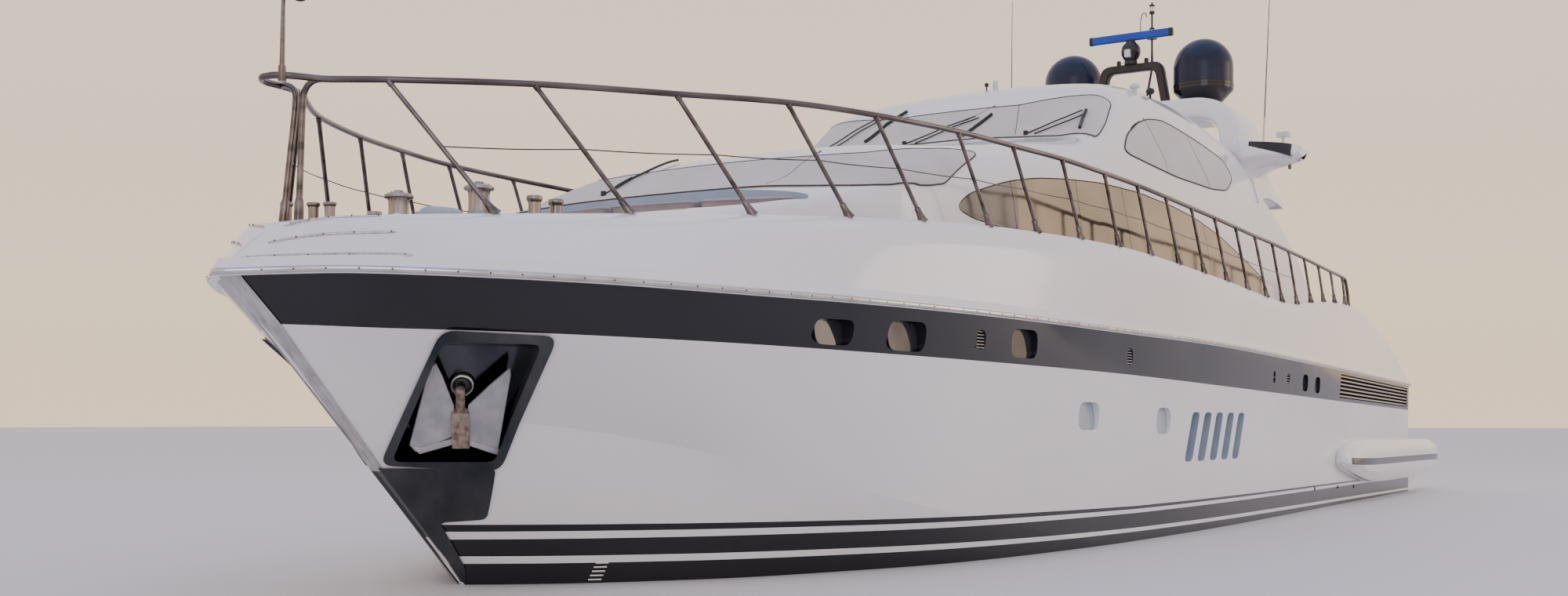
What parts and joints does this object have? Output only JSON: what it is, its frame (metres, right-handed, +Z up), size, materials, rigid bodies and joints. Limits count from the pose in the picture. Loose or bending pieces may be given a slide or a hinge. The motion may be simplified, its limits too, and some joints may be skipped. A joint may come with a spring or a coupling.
{
  "type": "motor yacht",
  "caption": "Open motor yacht with raked bow, dark hull band, long low deckhouse, bow and side guard rails, radar arch with twin domes, swim platform and twin propellers.",
  "frame": {"origin": "on the centreline amidships, at the waterline", "axes": "+X towards the bow, +Y to port, +Z up"},
  "size_m": [33.96, 8, 12.4708],
  "materials": {
    "gelcoat": "polished white gelcoat over glass-fibre moulding",
    "screen_mesh": "open-weave sun cover stretched over the glass",
    "tinted_glass": "bronze-tinted safety glass",
    "dark_steel": "mirror-polished stainless sheet",
    "galvanised": "hot-dip galvanised casting, worn",
    "polished_steel": "polished stainless steel",
    "dome_shell": "gloss navy-black painted dome",
    "black_paint": "satin black paint",
    "blue_cover": "blue canvas cover over the scanner bar",
    "taupe_fabric": "taupe outdoor upholstery",
    "cream_leather": "cream marine upholstery",
    "cream_panel": "lacquered cream panels",
    "bronze": "cast manganese bronze",
    "engine_block": "painted engine block"
  },
  "bodies": {
    "root": {"hull": "gelcoat", "deck_moulding": "gelcoat", "sunpad_base": "gelcoat", "bulwark_port": "gelcoat", "bulwark_starboard": "gelcoat", "rub_rail": "polished_steel", "stem_plate": "polished_steel", "anchor_plate_port": "dark_steel", "anchor_plate_starboard": "dark_steel", "anchor_port": "galvanised", "anchor_starboard": "galvanised", "swim_platform": "gelcoat", "saloon_window_port": "tinted_glass", "saloon_window_starboard": "tinted_glass", "wheelhouse_window_port": "screen_mesh", "wheelhouse_window_starboard": "screen_mesh", "lower_windshield": "screen_mesh", "upper_windshield": "screen_mesh", "coachroof": "gelcoat", "hardtop": "gelcoat", "superstructure": "gelcoat", "aft_bulkhead": "tinted_glass", "helm_console": "cream_panel", "helm_seat": "cream_leather", "saloon_sofa_port": "cream_leather", "saloon_sofa_starboard": "cream_leather", "cockpit_settee": "taupe_fabric", "cockpit_table": "cream_panel", "aft_sunpad": "taupe_fabric", "foredeck_cushion_port": "taupe_fabric", "foredeck_cushion_starboard": "taupe_fabric", "windlass_bed": "polished_steel", "bollards_port": "polished_steel", "bollards_starboard": "polished_steel", "guard_rail_port": "polished_steel", "guard_rail_starboard": "polished_steel", "pulpit": "polished_steel", "jackstaff": "black_paint", "radar_arch": "gelcoat", "dome_port": "dome_shell", "dome_starboard": "dome_shell", "mast_frame": "black_paint", "whip_antenna_port": "gelcoat", "whip_antenna_starboard": "gelcoat", "engine_port": "engine_block", "engine_starboard": "engine_block", "shaft_port": "bronze", "shaft_starboard": "bronze"},
    "radar_scanner": {"radar_scanner": "blue_cover"},
    "saloon_door": {"saloon_door": "tinted_glass"},
    "garage_door": {"garage_door": "gelcoat"},
    "propeller_port": {"propeller_port": "bronze"},
    "propeller_starboard": {"propeller_starboard": "bronze"},
    "rudder_port": {"rudder_port": "bronze"},
    "rudder_starboard": {"rudder_starboard": "bronze"},
    "capstan_port": {"capstan_port": "polished_steel"},
    "capstan_starboard": {"capstan_starboard": "polished_steel"}
  },
  "joints": [
    {"name": "radar_turn", "type": "hinge", "parent": "root", "child": "radar_scanner", "pos_m": [-4.58, 0, 9.4], "axis": [0, 0, 1], "continuous": true},
    {"name": "saloon_door_slide", "type": "slide", "parent": "root", "child": "saloon_door", "axis": [0, 1, 0], "range_m": [0, 1.15]},
    {"name": "garage_door_lift", "type": "hinge", "parent": "root", "child": "garage_door", "pos_m": [-14.565, 0, 2.4], "axis": [0, 1, 0], "range_deg": [0, 80]},
    {"name": "propeller_port_turn", "type": "hinge", "parent": "root", "child": "propeller_port", "pos_m": [-12.35, 1.35, -1.42], "axis": [0.9731, 0, 0.2305], "continuous": true},
    {"name": "propeller_starboard_turn", "type": "hinge", "parent": "root", "child": "propeller_starboard", "pos_m": [-12.35, -1.35, -1.42], "axis": [0.9731, 0, 0.2305], "continuous": true},
    {"name": "rudder_port_turn", "type": "hinge", "parent": "root", "child": "rudder_port", "pos_m": [-13.35, 1.35, -1.3], "axis": [0, 0, 1], "range_deg": [-35, 35]},
    {"name": "rudder_starboard_turn", "type": "hinge", "parent": "root", "child": "rudder_starboard", "pos_m": [-13.35, -1.35, -1.3], "axis": [0, 0, 1], "range_deg": [-35, 35]},
    {"name": "capstan_port_turn", "type": "hinge", "parent": "root", "child": "capstan_port", "pos_m": [14.85, 0.56, 3.8], "axis": [0, 0, 1], "continuous": true},
    {"name": "capstan_starboard_turn", "type": "hinge", "parent": "root", "child": "capstan_starboard", "pos_m": [14.85, -0.56, 3.8], "axis": [0, 0, 1], "continuous": true}
  ],
  "couplings": [
    {"joint": "rudder_starboard_turn", "follows": "rudder_port_turn", "ratio": 1}
  ]
}
